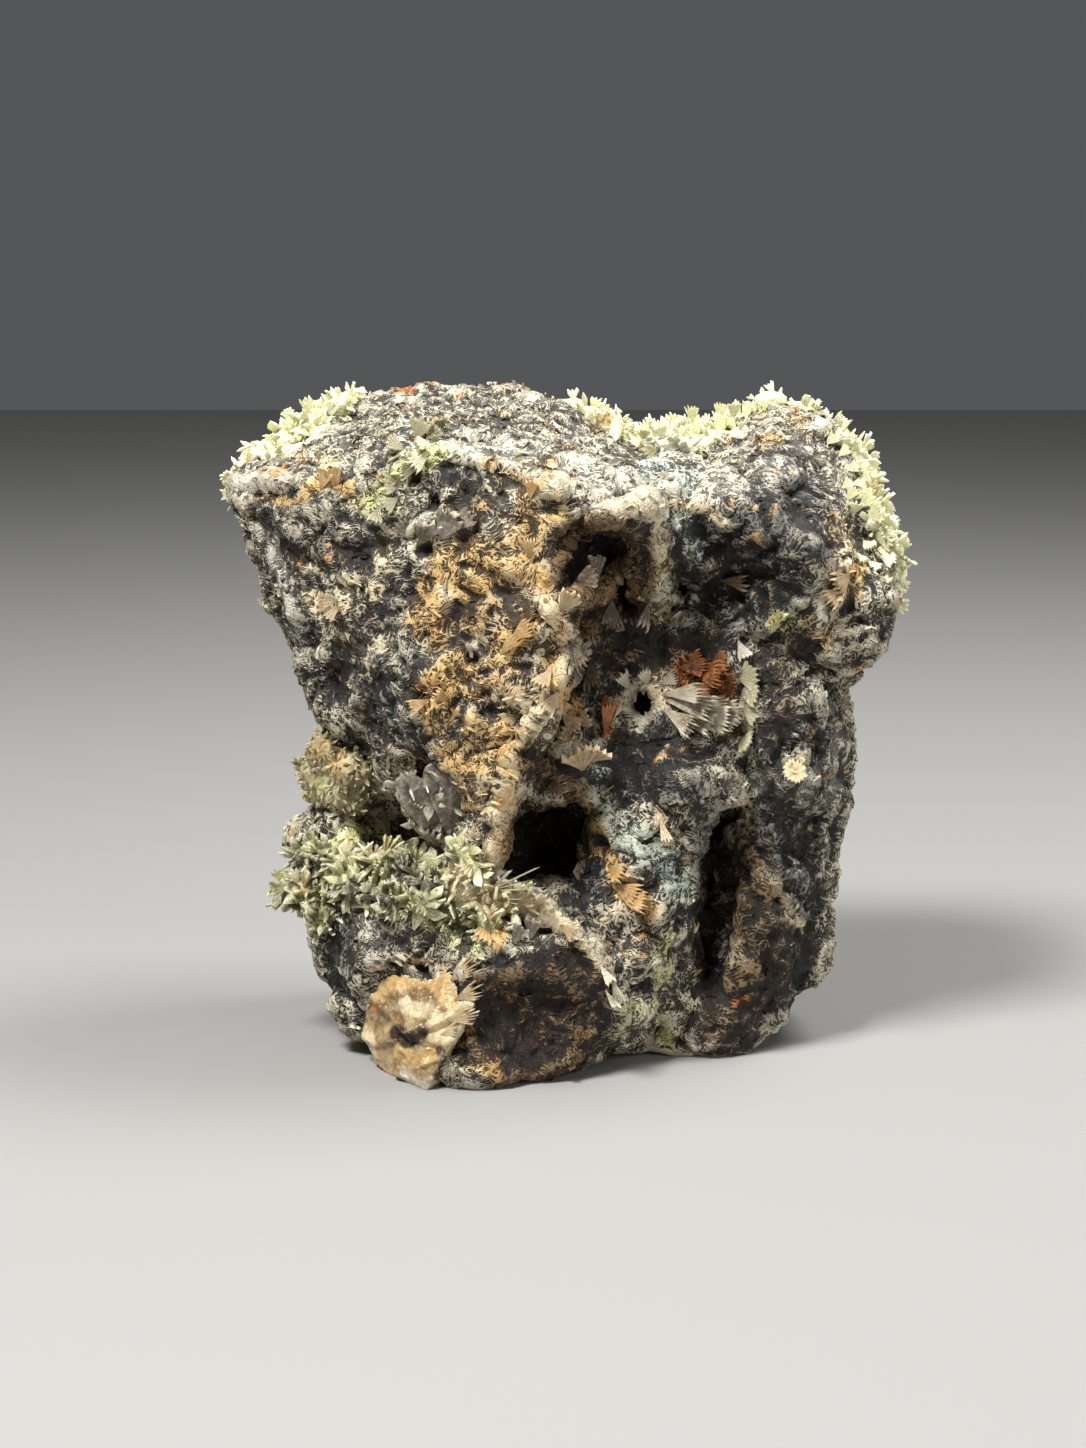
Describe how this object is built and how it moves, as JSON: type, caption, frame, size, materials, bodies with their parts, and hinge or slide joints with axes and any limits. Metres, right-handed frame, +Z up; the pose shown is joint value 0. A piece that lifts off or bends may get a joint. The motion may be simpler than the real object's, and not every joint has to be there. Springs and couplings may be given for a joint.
{
  "type": "selenite specimen",
  "caption": "Broken block of dark rock with a crust of pale green bladed selenite over its crest and back, and selenite crystals in a vein, a pocket, a recess and at one foot.",
  "frame": {"origin": "centre of the bounding box's bottom face, on the surface that the specimen rests on", "axes": "+X to the right as the broken front is looked at, -Y out of the broken front, +Z up"},
  "size_m": [0.1028, 0.0682, 0.098],
  "materials": {
    "dark_rock": "rough broken stone, dark grey with cream and ochre fibres",
    "pale_green_selenite": "pearly pale yellow-green crystal blades",
    "yellow_green_selenite": "pearly yellow-green crystal blades",
    "white_selenite": "pearly white crystal fans",
    "cream_rosette": "pearly cream crystal",
    "honey_selenite": "translucent honey crystal",
    "cream_selenite": "translucent cream crystal",
    "clear_selenite": "clear grey crystal"
  },
  "bodies": {
    "root": {"matrix": "dark_rock", "selenite_crust": "pale_green_selenite", "vein_crust": "yellow_green_selenite", "pocket_spray": "white_selenite", "rosette": "cream_rosette", "honey_crystal": "honey_selenite", "cream_crystals": "cream_selenite", "clear_blades": "clear_selenite"}
  },
  "joints": []
}
